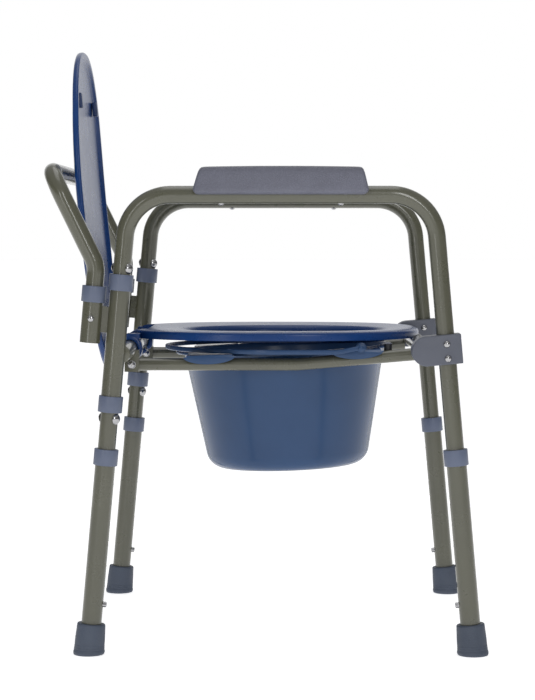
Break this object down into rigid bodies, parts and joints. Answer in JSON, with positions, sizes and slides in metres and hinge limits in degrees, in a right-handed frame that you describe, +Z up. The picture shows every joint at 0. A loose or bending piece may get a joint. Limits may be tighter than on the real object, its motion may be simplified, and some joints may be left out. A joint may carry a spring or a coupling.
{
  "type": "commode chair",
  "caption": "Folding steel-tube commode chair with padded armrests, hinged plastic seat and lid, lift-out pail, telescopic legs and a tubular backrest.",
  "frame": {"origin": "centre of the object's box, at floor level", "axes": "+Z up, the chair's front faces -Y, +X is the sitter's left"},
  "size_m": [0.536, 0.5492, 0.7574],
  "materials": {
    "frame_paint": "gloss powder coat, olive grey",
    "collar_plastic": "satin moulded",
    "bracket_plastic": "fine moulded grain",
    "pad_foam": "integral-skin foam with a leather grain",
    "foot_rubber": "matt",
    "seat_plastic": "high gloss moulded",
    "pail_plastic": "satin gloss moulded",
    "fastener_chrome": "bright plated",
    "spring_steel": "plain"
  },
  "bodies": {
    "frame": {"post_right": "frame_paint", "post_left": "frame_paint", "post_collars": "collar_plastic", "rear_cross_tube": "frame_paint", "seat_pivot_clevises": "frame_paint", "seat_pivot_bolts": "fastener_chrome", "seat_rails": "frame_paint", "front_cross_tube": "frame_paint", "backrest_sockets": "frame_paint", "socket_collars": "collar_plastic", "backrest_bar": "frame_paint", "backrest_springs": "spring_steel", "seat_bumpers": "foot_rubber"},
    "back_button_right": {"backrest_button_right": "fastener_chrome"},
    "back_button_left": {"backrest_button_left": "fastener_chrome"},
    "side_right": {"side_tube_right": "frame_paint", "armrest_pad_right": "pad_foam", "armrest_screws_right": "fastener_chrome", "stop_rivets_right": "fastener_chrome", "front_bracket_right": "bracket_plastic", "bracket_rivets_right": "fastener_chrome", "leg_springs_right": "spring_steel"},
    "side_left": {"side_tube_left": "frame_paint", "armrest_pad_left": "pad_foam", "armrest_screws_left": "fastener_chrome", "stop_rivets_left": "fastener_chrome", "front_bracket_left": "bracket_plastic", "bracket_rivets_left": "fastener_chrome", "leg_springs_left": "spring_steel"},
    "leg_front_right": {"leg_extension_front_right": "frame_paint", "leg_collar_front_right": "collar_plastic", "foot_front_right": "foot_rubber"},
    "button_front_right": {"leg_button_front_right": "fastener_chrome"},
    "leg_front_left": {"leg_extension_front_left": "frame_paint", "leg_collar_front_left": "collar_plastic", "foot_front_left": "foot_rubber"},
    "button_front_left": {"leg_button_front_left": "fastener_chrome"},
    "leg_rear_right": {"leg_extension_rear_right": "frame_paint", "leg_collar_rear_right": "collar_plastic", "foot_rear_right": "foot_rubber"},
    "button_rear_right": {"leg_button_rear_right": "fastener_chrome"},
    "leg_rear_left": {"leg_extension_rear_left": "frame_paint", "leg_collar_rear_left": "collar_plastic", "foot_rear_left": "foot_rubber"},
    "button_rear_left": {"leg_button_rear_left": "fastener_chrome"},
    "seat": {"seat": "seat_plastic"},
    "lid": {"lid": "seat_plastic", "lid_bumpers": "foot_rubber"},
    "pail": {"pail": "pail_plastic", "pail_handle_pins": "pail_plastic"},
    "pail_handle": {"pail_handle": "pail_plastic"}
  },
  "joints": [
    {"name": "side_swivel_right", "type": "hinge", "parent": "frame", "child": "side_right", "pos_m": [-0.245, 0.18438, 0.3845], "axis": [0, 0.0898, -0.996], "range_deg": [0, 25]},
    {"name": "side_swivel_left", "type": "hinge", "parent": "frame", "child": "side_left", "pos_m": [0.245, 0.18438, 0.3845], "axis": [0, -0.0898, 0.996], "range_deg": [0, 25]},
    {"name": "lid_hinge", "type": "hinge", "parent": "frame", "child": "lid", "pos_m": [0, 0.17755, 0.3715], "axis": [-1, 0, 0], "range_deg": [-95.8, 0]},
    {"name": "seat_hinge", "type": "hinge", "parent": "frame", "child": "seat", "pos_m": [0, 0.17755, 0.3715], "axis": [-1, 0, 0], "range_deg": [0, 94]},
    {"name": "pail_lift", "type": "slide", "parent": "frame", "child": "pail", "axis": [0, 0, 1], "range_m": [0, 0.058]},
    {"name": "handle_swing", "type": "hinge", "parent": "pail", "child": "pail_handle", "pos_m": [0, -0.11921, 0.3745], "axis": [1, 0, 0], "range_deg": [0, 3]},
    {"name": "leg_slide_front_right", "type": "slide", "parent": "side_right", "child": "leg_front_right", "axis": [0, -0.0898, -0.996], "range_m": [0, 0.1524]},
    {"name": "leg_button_press_front_right", "type": "slide", "parent": "side_right", "child": "button_front_right", "axis": [0, -0.996, 0.0898], "range_m": [0, 0.0058], "stiffness_N_per_m": 1500, "deforming": ["leg_springs_right"]},
    {"name": "leg_slide_front_left", "type": "slide", "parent": "side_left", "child": "leg_front_left", "axis": [0, -0.0898, -0.996], "range_m": [0, 0.1524]},
    {"name": "leg_button_press_front_left", "type": "slide", "parent": "side_left", "child": "button_front_left", "axis": [0, -0.996, 0.0898], "range_m": [0, 0.0058], "stiffness_N_per_m": 1500, "deforming": ["leg_springs_left"]},
    {"name": "leg_slide_rear_right", "type": "slide", "parent": "side_right", "child": "leg_rear_right", "axis": [0, 0.0898, -0.996], "range_m": [0, 0.1524]},
    {"name": "leg_button_press_rear_right", "type": "slide", "parent": "side_right", "child": "button_rear_right", "axis": [0, 0.996, 0.0898], "range_m": [0, 0.0058], "stiffness_N_per_m": 1500, "deforming": ["leg_springs_right"]},
    {"name": "leg_slide_rear_left", "type": "slide", "parent": "side_left", "child": "leg_rear_left", "axis": [0, 0.0898, -0.996], "range_m": [0, 0.1524]},
    {"name": "leg_button_press_rear_left", "type": "slide", "parent": "side_left", "child": "button_rear_left", "axis": [0, 0.996, 0.0898], "range_m": [0, 0.0058], "stiffness_N_per_m": 1500, "deforming": ["leg_springs_left"]},
    {"name": "back_button_press_right", "type": "slide", "parent": "frame", "child": "back_button_right", "axis": [1, 0, 0], "range_m": [0, 0.0058], "stiffness_N_per_m": 1500, "deforming": ["backrest_springs"]},
    {"name": "back_button_press_left", "type": "slide", "parent": "frame", "child": "back_button_left", "axis": [-1, 0, 0], "range_m": [0, 0.0058], "stiffness_N_per_m": 1500, "deforming": ["backrest_springs"]}
  ],
  "couplings": [
    {"joint": "pail_lift", "follows": "seat_hinge", "m_per_rad": 0.035}
  ]
}
